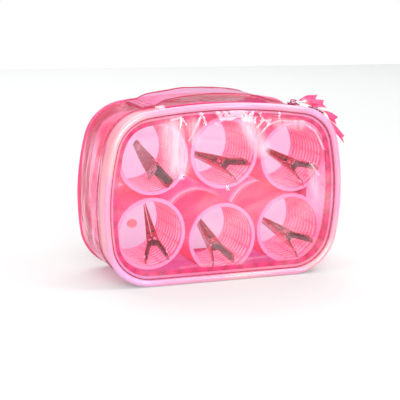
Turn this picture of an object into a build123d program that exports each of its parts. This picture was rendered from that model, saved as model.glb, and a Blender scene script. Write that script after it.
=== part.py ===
from build123d import *
import math
import os

# Zip case with six self-grip hair rollers and six duckbill clips.
# Millimetres. +Z up, the clear front lid faces -Y, the case stands on its long edge.

os.makedirs("parts", exist_ok=True)

# ---- case outline: bulged sides, arched top, flat base, all arcs tangent
CASE_W = 214.0
CASE_H = 150.0
SIDE_R = 210.0
SIDE_Z = 67.0
BASE_CORNER_R = 40.0
TOP_CORNER_R = 38.0
TOP_R = 480.0

# ---- case layers along the depth
FRONT_CORD_Y = -36.2
FRONT_CORD_R = 2.8
BACK_CORD_Y = 36.6
BACK_CORD_R = 2.4
WALL_OUT = -1.2
WALL_IN = -1.9
TAPE_IN = -2.5
ZIP_START_X = -54.0
STOP_W = 4.6
FLOOR_X = 60.0
LID_TAPE_END_Y = -25.9
CASE_TAPE_END_Y = -24.5
CHAIN_Y = -25.2
CHAIN_GAP = 0.3
CHAIN_W = 1.35
CHAIN_TOP = -0.3

# ---- handle strap
STRAP_X = 62.0
STRAP_SEAM_X = 52.0
STRAP_FRONT_Y = -14.5
STRAP_BACK_Y = 32.0
STRAP_TURN_DEG = 0.55
STRAP_T = 1.2
STRAP_RISE = 5.6
REACH = 600.0

# ---- sliders and pulls
SLIDER_L = 10.0
SLIDER_A_DEG = 7.62
SLIDER_B_DEG = 30.0
PULL_RISE_A = 9.0
PULL_RISE_B = 0.0
PIN_H = 2.55
PULL_L = 9.5
PULL_W = 10.8
WIRE_R = 0.65

# ---- rollers
ROLLER_L = 60.0
ROLLER_FRONT_Y = -27.5
RIM_OUT = 30.2
RIM_IN = 27.2
RIM_L = 2.6
CAGE_OUT = 29.0
CAGE_IN = 27.6
SLEEVE_OUT = 30.8
SLEEVE_IN = 29.03
RIB_COUNT = 9
RIB_W = 2.2
BAR_COUNT = 16
BAR_W = 2.4

# ---- clips, in their own frame: tip along +X, pin along Y, jaws open along Z
TIP_X = 45.0
GRIP_X = -24.0
GRIP_Z = 10.0
JAW_T = 0.8
PIN_R = 0.8

# roller name: axis position (x, z)
ROLLERS = {
    "top_left": (-62.2, 105.0),
    "top_mid": (0.6, 107.2),
    "top_right": (64.6, 101.5),
    "low_left": (-63.3, 42.4),
    "low_mid": (1.0, 34.2),
    "low_right": (63.2, 39.2),
}

# clip pose in its roller: pin centre (dx, y, dz), then tip turn, tip lift and roll in degrees
CLIPS = {
    "top_left": ((5.9, -9.2, -9.7), 0.0, 17.0, 58.0),
    "top_mid": ((5.7, -9.0, -12.8), 22.0, 6.0, -115.0),
    "top_right": ((7.6, -9.5, -10.8), 16.0, 13.0, -92.0),
    "low_left": ((8.1, -9.0, -9.5), -10.0, 27.5, -56.0),
    "low_mid": ((-1.2, -9.5, -9.5), 3.0, 25.0, -83.0),
    "low_right": ((7.1, -9.5, -11.4), 15.0, 13.0, 78.0),
}


# ---------------------------------------------------------------- helpers

def tangent_centres():
    """Centres of the base and top corner arcs (x, z) on the +X side."""
    side_x = CASE_W / 2 - SIDE_R
    drop = SIDE_Z - BASE_CORNER_R
    base = (side_x + math.sqrt((SIDE_R - BASE_CORNER_R) ** 2 - drop ** 2), BASE_CORNER_R)
    top_z = CASE_H - TOP_R
    a = SIDE_R - TOP_CORNER_R
    b = TOP_R - TOP_CORNER_R
    dx, dz = 0 - side_x, top_z - SIDE_Z
    d = math.hypot(dx, dz)
    along = (a * a - b * b + d * d) / (2 * d)
    across = math.sqrt(a * a - along * along)
    ux, uz = dx / d, dz / d
    top = (side_x + ux * along - uz * across, SIDE_Z + uz * along + ux * across)
    return base, top


BASE_C, TOP_C = tangent_centres()
SIDE_C = (CASE_W / 2 - SIDE_R, SIDE_Z)
ARCH_C = (0.0, CASE_H - TOP_R)


def angle_to(centre, point):
    return math.degrees(math.atan2(point[1] - centre[1], point[0] - centre[0]))


def outline(off):
    """Closed wire of the case outline in the XY sketch plane (x, z), grown by off."""
    low = angle_to(SIDE_C, BASE_C)
    high = angle_to(SIDE_C, TOP_C)
    arch = angle_to(ARCH_C, TOP_C)
    corner = BASE_CORNER_R + off
    upper = TOP_CORNER_R + off
    mirror_c = [(-c[0], c[1]) for c in (TOP_C, SIDE_C, BASE_C)]
    edges = [
        CenterArc(BASE_C, corner, -90, 90 + low),
        CenterArc(SIDE_C, SIDE_R + off, low, high - low),
        CenterArc(TOP_C, upper, high, arch - high),
        CenterArc(ARCH_C, TOP_R + off, arch, 180 - 2 * arch),
        CenterArc(mirror_c[0], upper, 180 - arch, arch - high),
        CenterArc(mirror_c[1], SIDE_R + off, 180 - high, high - low),
        CenterArc(mirror_c[2], corner, 180 - low, 90 + low),
        Line((-BASE_C[0], -off), (BASE_C[0], -off)),
    ]
    return Wire(edges)


def stand(shape, y_back):
    """Turn a sketch-plane solid upright, its sketch face at y_back, its height toward -Y."""
    return Plane(origin=(0, y_back, 0), x_dir=(1, 0, 0), z_dir=(0, -1, 0)).location * shape


def plate(off, y0, y1):
    return stand(extrude(Face(outline(off)), amount=y1 - y0), y1)


def band(off_out, off_in, y0, y1):
    """Ring of wall between two offsets of the outline, from y0 to y1."""
    face = Face(outline(off_out), [outline(off_in)])
    return stand(extrude(face, amount=y1 - y0), y1)


def box(x0, x1, y0, y1, z0, z1):
    return Pos((x0 + x1) / 2, (y0 + y1) / 2, (z0 + z1) / 2) * Box(x1 - x0, y1 - y0, z1 - z0)


def keep_x(shape, x0, x1):
    return shape & box(x0, x1, -200, 200, -50, 250)


def cord(off, y, radius):
    """Round cord swept along the outline."""
    path = Plane(origin=(0, y, 0), x_dir=(1, 0, 0), z_dir=(0, -1, 0)).location * outline(off)
    start = path @ 0
    profile = Plane(origin=start, z_dir=path % 0).location * Face(Wire(Edge.make_circle(radius)))
    return sweep(profile, path=path)


def save(shape, name):
    shape.label = name
    export_step(shape, "parts/" + name + ".step")


# ---------------------------------------------------------------- case

def front_piping():
    flange = band(-FRONT_CORD_R, -10.5, -35.2, -34.6)
    return cord(-FRONT_CORD_R, FRONT_CORD_Y, FRONT_CORD_R) + flange


def back_piping():
    flange = band(-BACK_CORD_R, -9.5, 34.6, 35.2)
    return cord(-BACK_CORD_R, BACK_CORD_Y, BACK_CORD_R) + flange


def gusset():
    wall = band(WALL_OUT, WALL_IN, -19.0, 34.0)
    turn_in = band(WALL_OUT, -9.0, 33.4, 34.0)
    # the loaded floor sags to the table
    floor = box(-FLOOR_X, FLOOR_X, -18.0, 33.0, 0.0, 1.5)
    return wall + turn_in + floor


def lid_tape():
    leg = band(WALL_IN, -10.5, -33.3, -32.7)
    run = band(WALL_IN, TAPE_IN, -33.3, LID_TAPE_END_Y)
    return keep_x(leg + run, ZIP_START_X, 150)


def case_tape():
    return keep_x(band(WALL_IN, TAPE_IN, CASE_TAPE_END_Y, -13.0), ZIP_START_X, 150)


def hinge_strip():
    leg = band(WALL_IN, -10.5, -33.3, -32.7)
    run = band(WALL_IN, TAPE_IN, -33.3, -13.0)
    return keep_x(leg + run, -150, ZIP_START_X - 0.3)


def chain(side):
    """One row of the zip chain: side -1 on the lid, +1 on the case."""
    inner = CHAIN_Y + side * CHAIN_GAP / 2
    outer = inner + side * CHAIN_W
    return keep_x(band(CHAIN_TOP, WALL_IN, min(inner, outer), max(inner, outer)), ZIP_START_X, 150)


def zip_stop(top):
    """Folded tab over the end of the zip, sewn to the hinge strip and the case tape."""
    cover = keep_x(band(CHAIN_TOP + 0.2, WALL_IN, -31.0, -19.2), ZIP_START_X - STOP_W, ZIP_START_X - 0.3)
    tail = keep_x(band(CHAIN_TOP + 0.2, WALL_IN, -23.4, -19.2), ZIP_START_X - STOP_W, ZIP_START_X + 2.5)
    z0, z1 = (80, 250) if top else (-50, 80)
    return (cover + tail) & box(-150, 150, -200, 200, z0, z1)


def handle_strap():
    """Wide strap over the top: two sewn ends on the gusset and a low arch between."""
    skin_r = TOP_R + WALL_OUT
    end = math.degrees(math.asin(STRAP_X / skin_r))
    seam = math.degrees(math.asin(STRAP_SEAM_X / skin_r))
    ring = Circle(skin_r + STRAP_T) - Circle(skin_r)
    flats = []
    for sign in (-1, 1):
        sector = Polygon(
            (0, 0),
            (REACH * math.sin(math.radians(seam)), REACH * math.cos(math.radians(seam))),
            (REACH * math.sin(math.radians(end)), REACH * math.cos(math.radians(end))),
            align=None,
        )
        flats.append((ring & sector) if sign > 0 else mirror(ring & sector, Plane.YZ))
    z_seam = skin_r * math.cos(math.radians(seam))
    arch_low = ThreePointArc((-STRAP_SEAM_X, z_seam), (0, skin_r + STRAP_RISE), (STRAP_SEAM_X, z_seam))
    seam_high = (
        (skin_r + STRAP_T) * math.sin(math.radians(seam)),
        (skin_r + STRAP_T) * math.cos(math.radians(seam)),
    )
    arch_high = ThreePointArc(
        (seam_high[0], seam_high[1]), (0, skin_r + STRAP_RISE + STRAP_T), (-seam_high[0], seam_high[1])
    )
    right = Line((STRAP_SEAM_X, z_seam), seam_high)
    left = Line((-seam_high[0], seam_high[1]), (-STRAP_SEAM_X, z_seam))
    arch = Face(Wire([arch_low, right, arch_high, left]))
    width = STRAP_BACK_Y - STRAP_FRONT_Y
    solid = extrude(arch, amount=width)
    for flat in flats:
        solid = solid + extrude(flat, amount=width)
    return stand(Pos(0, ARCH_C[1], 0) * Rot(0, 0, STRAP_TURN_DEG) * solid, STRAP_BACK_Y)


def back_patch():
    oval = extrude(Ellipse(4.6, 4.0), amount=0.5)
    return stand(Pos(-58, 37, 0) * oval, 35.2)


# ---------------------------------------------------------------- sliders

def slider():
    """Slider at the arch crown: z = 0 on the outline, plate over the chain, cheek behind it."""
    plate_top = box(-SLIDER_L / 2, SLIDER_L / 2, -28.6, -21.6, 0.1, 1.1)
    plate_top = chamfer(plate_top.edges().filter_by(Axis.Z), 1.6)
    cheek = box(-3.6, 3.6, -23.2, -21.6, -1.5, 0.3)
    hoop = box(-3.1, 3.1, -26.0, -24.4, 1.0, 4.2)
    hoop = fillet(hoop.edges().filter_by(Axis.Y).group_by(Axis.Z)[-1], 1.4)
    slot = box(-2.1, 2.1, -27.0, -23.4, 1.3, 3.4)
    return plate_top + cheek + (hoop - slot)


def wire_ring(length, width, radius):
    """Rectangular ring of round wire in the XY plane, its near bar on the Y axis."""
    half = width / 2 - radius
    reach = length - 2 * radius
    ring = Pos(0, 0, 0) * (Rot(90, 0, 0) * Cylinder(radius, width))
    ring = ring + Pos(reach, 0, 0) * (Rot(90, 0, 0) * Cylinder(radius, width))
    for side in (-1, 1):
        bar = Pos(reach / 2, side * half, 0) * (Rot(0, 90, 0) * Cylinder(radius, reach))
        ring = ring + bar
    return ring


def ribbon(tails):
    """Folded ribbon hung on a wire bar at the origin: a loop and two tails (length, drop)."""
    inner, outer = WIRE_R + 0.1, WIRE_R + 0.9
    loop = Circle(outer) - Circle(inner)
    shape = loop
    for length, drop in tails:
        angle = math.degrees(math.atan2(drop, length))
        reach = math.hypot(length, drop)
        tail = Rot(0, 0, angle) * (Pos((inner + reach) / 2, 0, 0) * Rectangle(reach - inner, 0.8))
        shape = shape + tail
    shape = shape - Circle(inner)
    return Rot(90, 0, 0) * extrude(shape, amount=4.0, both=True)


def on_arch(shape):
    """Carry a piece from the crown frame to slider A's place on the arched run."""
    place = Pos(ARCH_C[0], 0, ARCH_C[1]) * Rot(0, SLIDER_A_DEG, 0)
    return place * Pos(0, 0, TOP_R) * shape


def on_corner(shape):
    """Carry a piece from the crown frame to slider B's place on the top corner."""
    place = Pos(TOP_C[0], 0, TOP_C[1]) * Rot(0, SLIDER_B_DEG, 0)
    return place * Pos(0, 0, TOP_CORNER_R) * shape


def pull_frame(rise):
    return Pos(0, CHAIN_Y, PIN_H) * Rot(0, -rise, 0)


# ---------------------------------------------------------------- rollers

def tube(outer, inner, length, y0):
    """Tube along Y from y0 to y0 + length, on the Y axis."""
    wall = Cylinder(outer, length) - Cylinder(inner, length)
    return Pos(0, y0 + length / 2, 0) * (Rot(90, 0, 0) * wall)


def roller_core():
    """Open cage of ribs and bars between two rims."""
    y0 = ROLLER_FRONT_Y
    core = tube(RIM_OUT, RIM_IN, RIM_L, y0) + tube(RIM_OUT, RIM_IN, RIM_L, y0 + ROLLER_L - RIM_L)
    pitch = (ROLLER_L - 2 * RIM_L) / (RIB_COUNT + 1)
    for i in range(RIB_COUNT):
        core = core + tube(CAGE_OUT, RIM_IN, RIB_W, y0 + RIM_L + pitch * (i + 1) - RIB_W / 2)
    length = ROLLER_L - RIM_L
    shell = tube(CAGE_OUT, CAGE_IN, length, y0 + RIM_L / 2)
    bars = None
    for i in range(BAR_COUNT // 2):
        cut = Pos(0, y0 + ROLLER_L / 2, 0) * (Rot(0, 180.0 / (BAR_COUNT // 2) * i, 0) * Box(80, length, BAR_W))
        bars = cut if bars is None else bars + cut
    return core + (shell & bars)


def roller_hooks():
    return tube(SLEEVE_OUT, SLEEVE_IN, ROLLER_L - 2 * RIM_L, ROLLER_FRONT_Y + RIM_L)


# ---------------------------------------------------------------- clips

def side_extrude(points, half_width):
    """Side profile (x, z) drawn out along Y, centred."""
    return Rot(90, 0, 0) * extrude(Polygon(*points, align=None), amount=half_width, both=True)


def jaw(sign, tip_half, pin_half, grip_half, ear_out, hole_r):
    """One pressed jaw: plate, pin ears, toothed side flanges and finger tab."""
    line = [(TIP_X, 0.95), (12.0, 3.4), (0.0, 4.6), (-8.0, 5.2), (GRIP_X, GRIP_Z)]
    under = [(x, z - JAW_T) for x, z in line]
    blank = side_extrude(line + under[::-1], 8.0)
    plan = Polygon(
        (TIP_X, -tip_half + 1.2), (TIP_X, tip_half - 1.2), (TIP_X - 1.2, tip_half), (10, pin_half),
        (-8, pin_half), (GRIP_X + 6, grip_half), (GRIP_X + 1.5, grip_half), (GRIP_X, grip_half - 1.5),
        (GRIP_X, -grip_half + 1.5), (GRIP_X + 1.5, -grip_half), (GRIP_X + 6, -grip_half),
        (-8, -pin_half), (10, -pin_half), (TIP_X - 1.2, -tip_half), align=None,
    )
    body = blank & (Pos(0, 0, -1) * extrude(plan, amount=20))
    ear = side_extrude([(-3.6, 4.6), (3.6, 4.0), (2.0, -1.7), (-2.0, -1.7)], 0.35)
    for side in (-1, 1):
        body = body + Pos(0, side * (ear_out - 0.35), 0) * ear
    body = body - Rot(90, 0, 0) * Cylinder(hole_r, 30)
    hole = Pos(GRIP_X + 5.0, 0, 8.6) * Cylinder(1.5, 6)
    body = body - hole
    flange = [(TIP_X - 1.0, 0.6)]
    teeth = 12
    x0, x1 = TIP_X - 2.0, 9.0
    for i in range(teeth):
        x = x0 + (x1 - x0) * i / teeth
        step = (x1 - x0) / teeth
        flange.append((x, 0.2))
        flange.append((x + step * 0.6, 0.75))
    flange += [(x1, 0.2), (7.5, 1.4), (7.5, 3.7), (12.0, 3.0)]
    wall = side_extrude(flange, 0.3)
    for side in (-1, 1):
        body = body + Pos(0, side * (tip_half - 0.5), 0) * wall
    return body if sign > 0 else mirror(body, Plane.XY)


def clip_pin():
    pin = Cylinder(PIN_R, 12.2)
    for side in (-1, 1):
        pin = pin + Pos(0, 0, side * 5.75) * Cylinder(1.35, 0.7)
    return Rot(90, 0, 0) * pin


def clip_spring():
    """Folded leaf spring between the finger tabs, its bend just behind the pin."""
    upper = [(-3.0, 1.6), (-8.4, 4.0), (-21.0, 8.0)]
    thick = 0.5
    outer = upper + [(x, -z) for x, z in upper[::-1]]
    inner = [(-4.0, 1.4), (-8.5, 3.45), (-21.0, 7.4)]
    inside = inner + [(x, -z) for x, z in inner[::-1]]
    strip = side_extrude(outer, 2.4) - side_extrude(inside, 3.0)
    return strip


def clip_place(name):
    (dx, y, dz), turn, lift, roll = CLIPS[name]
    x, z = ROLLERS[name]
    a, b, c = (math.radians(v) for v in (turn, lift, roll))
    tip = Vector(-math.sin(a) * math.cos(b), math.cos(a) * math.cos(b), math.sin(b))
    toward = Vector(0, -1, 0)
    flat = (toward - tip * toward.dot(tip)).normalized()
    normal = flat * math.cos(c) + flat.cross(tip) * math.sin(c)
    return Plane(origin=(x + dx, y, z + dz), x_dir=tip, z_dir=normal).location


# ---------------------------------------------------------------- nodes

def case_nodes():
    nodes = {
        "back_panel": plate(-4.85, 35.2, 36.0),
        "back_piping": back_piping(),
        "back_binding": band(-5.0, -10.0, 34.0, 34.6),
        "gusset": gusset(),
        "back_patch": back_patch(),
        "handle_strap": handle_strap(),
        "hinge_strip": hinge_strip(),
        "zip_tape_case": case_tape(),
        "zip_chain_case": chain(1),
        "zip_stop_top": zip_stop(True),
        "zip_stop_base": zip_stop(False),
        "front_panel": plate(-5.7, -36.0, -35.2),
        "front_piping": front_piping(),
        "front_binding": band(-5.9, -11.5, -34.6, -33.3),
        "zip_tape_lid": lid_tape(),
        "zip_chain_lid": chain(-1),
    }
    return nodes


def slider_nodes():
    ring = wire_ring(PULL_L, PULL_W, WIRE_R)
    far = PULL_L - 2 * WIRE_R
    ribbon_a = pull_frame(PULL_RISE_A) * (Pos(far, 0, 0) * ribbon(((15.0, 0.5), (22.0, -3.4))))
    ribbon_b = pull_frame(PULL_RISE_B) * (Pos(far, 0, 0) * ribbon(((17.0, 0.0), (32.0, -9.0))))
    return {
        "slider_a": on_arch(slider()),
        "slider_b": on_corner(slider()),
        "pull_a": on_arch(pull_frame(PULL_RISE_A) * ring),
        "pull_b": on_corner(pull_frame(PULL_RISE_B) * ring),
        "ribbon_a": on_arch(ribbon_a),
        "ribbon_b": on_corner(ribbon_b),
    }


def roller_nodes():
    nodes = {}
    core, hooks = roller_core(), roller_hooks()
    for name, (x, z) in ROLLERS.items():
        nodes["roller_core_" + name] = Pos(x, 0, z) * core
        nodes["roller_hooks_" + name] = Pos(x, 0, z) * hooks
    return nodes


def clip_nodes():
    nodes = {}
    wide = jaw(1, 3.0, 5.4, 5.6, 5.4, PIN_R)
    narrow = jaw(-1, 2.2, 4.3, 4.6, 4.3, PIN_R + 0.06)
    pin, spring = clip_pin(), clip_spring()
    for name in ROLLERS:
        place = clip_place(name)
        nodes["clip_wide_" + name] = place * wide
        nodes["clip_narrow_" + name] = place * narrow
        nodes["clip_pin_" + name] = place * pin
        nodes["clip_spring_" + name] = place * spring
    return nodes


for group in (case_nodes(), slider_nodes(), roller_nodes(), clip_nodes()):
    for node_name, node_shape in group.items():
        save(node_shape, node_name)
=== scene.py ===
import math
import random

import bmesh
import bpy
import numpy as np
from mathutils import Matrix, Vector, noise


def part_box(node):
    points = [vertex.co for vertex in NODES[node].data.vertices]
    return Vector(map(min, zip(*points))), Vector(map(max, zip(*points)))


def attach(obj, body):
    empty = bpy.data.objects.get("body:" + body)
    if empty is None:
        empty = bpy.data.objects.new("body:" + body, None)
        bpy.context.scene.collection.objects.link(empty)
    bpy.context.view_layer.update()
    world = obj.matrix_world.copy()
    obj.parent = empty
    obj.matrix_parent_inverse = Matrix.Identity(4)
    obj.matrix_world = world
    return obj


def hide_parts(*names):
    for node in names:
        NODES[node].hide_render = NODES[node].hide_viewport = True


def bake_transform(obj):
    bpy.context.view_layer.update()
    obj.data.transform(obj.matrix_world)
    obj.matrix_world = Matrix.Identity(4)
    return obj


# Looks for the zip case with six self-grip rollers and six duckbill clips.
# The frame is in metres; sizes below are in millimetres, as the part was designed.

MM = 0.001
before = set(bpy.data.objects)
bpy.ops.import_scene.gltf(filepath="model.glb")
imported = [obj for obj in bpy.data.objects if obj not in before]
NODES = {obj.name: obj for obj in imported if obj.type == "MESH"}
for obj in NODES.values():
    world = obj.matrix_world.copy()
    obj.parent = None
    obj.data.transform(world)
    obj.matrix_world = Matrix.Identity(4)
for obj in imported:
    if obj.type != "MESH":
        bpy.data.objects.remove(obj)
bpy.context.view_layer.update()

# ---- case outline, all arcs tangent: (radius, centre x, centre z)
BASE_CORNER_R = 40.0
TOP_CORNER_R = 38.0
SIDE_R = 210.0
TOP_R = 480.0
CASE_W = 214.0
CASE_H = 150.0
SIDE_Z = 67.0
ZIP_START_X = -54.0
STATION_STEP = 1.6

# ---- layers along the depth
FRONT_CORD_Y = -36.2
FRONT_CORD_R = 2.8
BACK_CORD_Y = 36.6
BACK_CORD_R = 2.4
PANEL_Y = -35.6
BACK_Y = 35.6
CHAIN_Y = -25.2
HEM_Y = 22.0

# ---- rollers, from the frame
ROLLER_NAMES = ("top_left", "top_mid", "top_right", "low_left", "low_mid", "low_right")


def roller_place(name):
    """Axis of a roller (x, z) in millimetres, from its CAD node."""
    low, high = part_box("roller_core_" + name)
    return ((low.x + high.x) / 2 / MM, (low.z + high.z) / 2 / MM)


ROLLER_PLACES = [roller_place(name) for name in ROLLER_NAMES]


# front end of every roller, along Y
ROLLER_FRONT_Y = -27.5

# folds of the front vinyl, whose lines also carry painted reflection streaks: start x, z, end x, z, width,
# height
FRONT_FOLDS = (
    (-57.0, 130.0, -51.0, 137.0, 2.4, 0.6),
    (-51.0, 137.0, -42.0, 139.0, 2.4, 0.9),
    (-42.0, 139.0, -44.0, 125.0, 2.6, 1.0),
    (-44.0, 125.0, -46.0, 116.0, 2.6, 0.8),
    (-26.0, 138.0, -35.0, 120.0, 2.6, 0.8),
    (27.0, 122.0, 36.0, 131.0, 3.0, 0.7),
    (36.0, 131.0, 46.0, 134.0, 3.0, 0.8),
    (46.0, 134.0, 68.0, 132.5, 3.0, 0.7),
    (68.0, 132.5, 80.0, 124.0, 2.6, 0.6),
    (80.0, 124.0, 89.0, 108.0, 2.4, 0.6),
    (77.0, 96.0, 85.0, 86.0, 1.8, 0.9),
    (-43.0, 90.0, -39.0, 89.0, 2.2, 0.9),
    (-1.0, 78.0, 2.0, 77.5, 1.8, 0.6),
    (-40.0, 14.0, 40.0, 18.0, 3.0, 0.2),
)

# painted reflections on the front vinyl, as milky patches: start x, z, end x, z, reach, strength
FRONT_PAINTED_SHEEN = (
    (-50.0, 130.0, -44.0, 100.0, 17.0, 0.62),
    (-32.0, 132.0, -30.0, 122.0, 11.0, 0.45),
    (16.0, 133.0, 30.0, 112.0, 13.0, 0.55),
    (44.0, 132.0, 66.0, 130.0, 8.0, 0.34),
    (79.0, 92.0, 85.0, 66.0, 8.0, 0.3),
)


# ---------------------------------------------------------------- node helpers

def new_material(name):
    """A material with an empty node tree, and that tree."""
    material = bpy.data.materials.new(name)
    material.use_nodes = True
    tree = material.node_tree
    tree.nodes.clear()
    return material, tree


def feed(tree, socket, value):
    """Link another node's output to the socket, or fill a plain value in."""
    if isinstance(value, bpy.types.NodeSocket):
        tree.links.new(value, socket)
    else:
        socket.default_value = value


def add(tree, kind, inputs=None, **props):
    """A node with its properties set and its inputs linked or filled."""
    node = tree.nodes.new(kind)
    for key, value in props.items():
        setattr(node, key, value)
    for key, value in (inputs or {}).items():
        feed(tree, node.inputs[key], value)
    return node


def rgba(r, g, b):
    """Linear colour from sRGB values of 0 to 255."""
    def linear(v):
        v = v / 255.0
        return v / 12.92 if v <= 0.04045 else ((v + 0.055) / 1.055) ** 2.4
    return (linear(r), linear(g), linear(b), 1.0)


def object_coords(tree):
    """Coordinates of the object, in metres of the frame."""
    return add(tree, "ShaderNodeTexCoord").outputs["Object"]


def run_coords(tree):
    """Coordinates along and across a swept strip, in metres."""
    return add(tree, "ShaderNodeUVMap", uv_map="run").outputs["UV"]


def axis(tree, vector, letter):
    """One component of a vector."""
    return add(tree, "ShaderNodeSeparateXYZ", {"Vector": vector}).outputs[letter]


def scaled(tree, coords, scale, turn=(0, 0, 0)):
    """Coordinates turned and stretched, so that a texture shrinks by scale along each axis."""
    mapping = add(tree, "ShaderNodeMapping", {"Vector": coords, "Scale": scale, "Rotation": turn})
    return mapping.outputs["Vector"]


def noise_of(tree, coords, scale, detail=2.0, roughness=0.5, distortion=0.0, turn=(0, 0, 0)):
    """Noise with the given number of waves per metre along each axis."""
    node = add(tree, "ShaderNodeTexNoise", {
        "Vector": scaled(tree, coords, scale, turn), "Scale": 1.0, "Detail": detail,
        "Roughness": roughness, "Distortion": distortion})
    return node.outputs["Fac"]


def ramp(tree, fac, low, high, low_at=0.0, high_at=1.0):
    """Map fac from low_at..high_at to low..high, smooth at both ends."""
    node = add(tree, "ShaderNodeMapRange", {
        "Value": fac, "From Min": low_at, "From Max": high_at, "To Min": low, "To Max": high},
        interpolation_type="SMOOTHSTEP")
    return node.outputs["Result"]


def maths(tree, operation, a, b=0.0):
    """One step of arithmetic on two values."""
    return add(tree, "ShaderNodeMath", {0: a, 1: b}, operation=operation).outputs[0]


def vector_maths(tree, operation, a, b):
    """The node for one step of arithmetic on two vectors."""
    return add(tree, "ShaderNodeVectorMath", {0: a, 1: b}, operation=operation)


def mix_colour(tree, fac, a, b):
    """Colour a where fac is 0, colour b where it is 1."""
    node = add(tree, "ShaderNodeMix", data_type="RGBA")
    for name, value in (("Factor", fac), ("A", a), ("B", b)):
        feed(tree, [s for s in node.inputs if s.name == name and s.enabled][0], value)
    return [s for s in node.outputs if s.enabled][0]


def mix_shader(tree, fac, a, b):
    """Shader a where fac is 0, shader b where it is 1."""
    return add(tree, "ShaderNodeMixShader", {0: fac, 1: a, 2: b}).outputs[0]


def translucent(tree, colour, normal):
    """Shader of what passes light on, scattered, to its far side."""
    return add(tree, "ShaderNodeBsdfTranslucent", {"Color": colour, "Normal": normal}).outputs[0]


def principled(tree, inputs):
    """Output of a principled shader."""
    return add(tree, "ShaderNodeBsdfPrincipled", inputs).outputs[0]


def bump(tree, height, strength, distance):
    """Normals tilted by a height map; distance is in metres."""
    node = add(tree, "ShaderNodeBump", {"Height": height, "Strength": strength, "Distance": distance})
    return node.outputs["Normal"]


def sheet_fresnel(tree, normal):
    """Fresnel share of an open vinyl sheet, the same from either side."""
    ior = 1.5
    behind = add(tree, "ShaderNodeNewGeometry").outputs["Backfacing"]
    index = maths(tree, "SUBTRACT", ior, maths(tree, "MULTIPLY", behind, ior - 1.0 / ior))
    return add(tree, "ShaderNodeFresnel", {"IOR": index, "Normal": normal}).outputs[0]


def output(tree, shader):
    """Make a shader the material's surface."""
    add(tree, "ShaderNodeOutputMaterial", {"Surface": shader})


# ---------------------------------------------------------------- materials

def near_points(tree, coords, points, inner, outer):
    """1 near any of the points (x, z in millimetres), falling to 0 from inner to outer."""
    flat = vector_maths(tree, "MULTIPLY", coords, (1.0, 0.0, 1.0)).outputs[0]
    nearest = None
    for x, z in points:
        gap = vector_maths(tree, "DISTANCE", flat, (x * MM, 0.0, z * MM)).outputs["Value"]
        nearest = gap if nearest is None else maths(tree, "MINIMUM", nearest, gap)
    return ramp(tree, nearest, 1.0, 0.0, inner * MM, outer * MM)


def near_line(tree, coords, line, inner, outer):
    """1 on a line of the panel (x, z, x, z in millimetres), falling to 0 from inner to outer."""
    start = Vector((line[0] * MM, 0, line[1] * MM))
    along = Vector((line[2] * MM, 0, line[3] * MM)) - start
    flat = vector_maths(tree, "MULTIPLY", coords, (1.0, 0.0, 1.0)).outputs[0]
    offset = vector_maths(tree, "SUBTRACT", flat, start).outputs[0]
    share = vector_maths(tree, "DOT_PRODUCT", offset, along / along.length_squared).outputs["Value"]
    held = add(tree, "ShaderNodeClamp", {"Value": share}).outputs[0]
    foot = add(tree, "ShaderNodeVectorMath", {0: along, "Scale": held}, operation="SCALE").outputs[0]
    gap = vector_maths(tree, "DISTANCE", offset, foot).outputs["Value"]
    return ramp(tree, gap, 1.0, 0.0, inner * MM, outer * MM)


def painted_reflections(tree, coords):
    """Painted reflections on the front vinyl, put on as milky white: along its folds, and in broad patches
    beside them.
    """
    marks = [(line, 0.2, 0.62 * width, 0.85 * height) for *line, width, height in FRONT_FOLDS]
    marks += [(line, 1.0, reach, strength) for *line, reach, strength in FRONT_PAINTED_SHEEN]
    found = None
    for line, inner, outer, strength in marks:
        mark = maths(tree, "MULTIPLY", near_line(tree, coords, line, inner, outer), strength)
        found = mark if found is None else maths(tree, "MAXIMUM", found, mark)
    streaks = noise_of(tree, coords, (260, 10, 40), 3.0, 0.6, 0.8, turn=(0, 0.25, 0))
    return maths(tree, "MULTIPLY", found, ramp(tree, streaks, 0.55, 1.0, 0.3, 0.65))


# the vinyl's colour for shadow rays, which keeps what it shades near neutral
SHADOW_TINT = (0.80, 0.78, 0.79, 1)


def hemmed(tree, coords, hem, colour, haze_colour, milky):
    """Colour, haze colour and milkiness of a band, changed by the doubled hem along its back edge."""
    doubled = ramp(tree, axis(tree, coords, "Y"), 0.0, 1.0, HEM_Y * MM, (HEM_Y + 1.5) * MM)
    colour = mix_colour(tree, doubled, colour, hem)
    haze_colour = mix_colour(tree, doubled, haze_colour, hem)
    return colour, haze_colour, maths(tree, "MAXIMUM", milky, maths(tree, "MULTIPLY", doubled, 0.45))


def painted_hinge_end_highlights(tree, coords):
    """Painted highlights: where the upright end beside the hinge turns milky in streaks."""
    end = ramp(tree, axis(tree, coords, "X"), 1.0, 0.0, -103.0 * MM, -94.0 * MM)
    streak = noise_of(tree, coords, (10, 60, 11), 2.0, 0.5, 0.9, turn=(0.3, 0, 0))
    return maths(tree, "MULTIPLY", end, ramp(tree, streak, 0.12, 0.86, 0.40, 0.56))


def vinyl_body(tree, milky, colour, haze_colour, normal):
    """Vinyl that passes light with its colour where it is clear and scatters it where it is milky."""
    shadow_ray = add(tree, "ShaderNodeLightPath").outputs["Is Shadow Ray"]
    passed = mix_colour(tree, shadow_ray, colour, SHADOW_TINT)
    clear = add(tree, "ShaderNodeBsdfTransparent", {"Color": passed}).outputs[0]
    front = add(tree, "ShaderNodeBsdfDiffuse", {"Color": haze_colour, "Normal": normal}).outputs[0]
    cloudy = mix_shader(tree, 0.4, front, translucent(tree, haze_colour, normal))
    return mix_shader(tree, milky, clear, cloudy)


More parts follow.
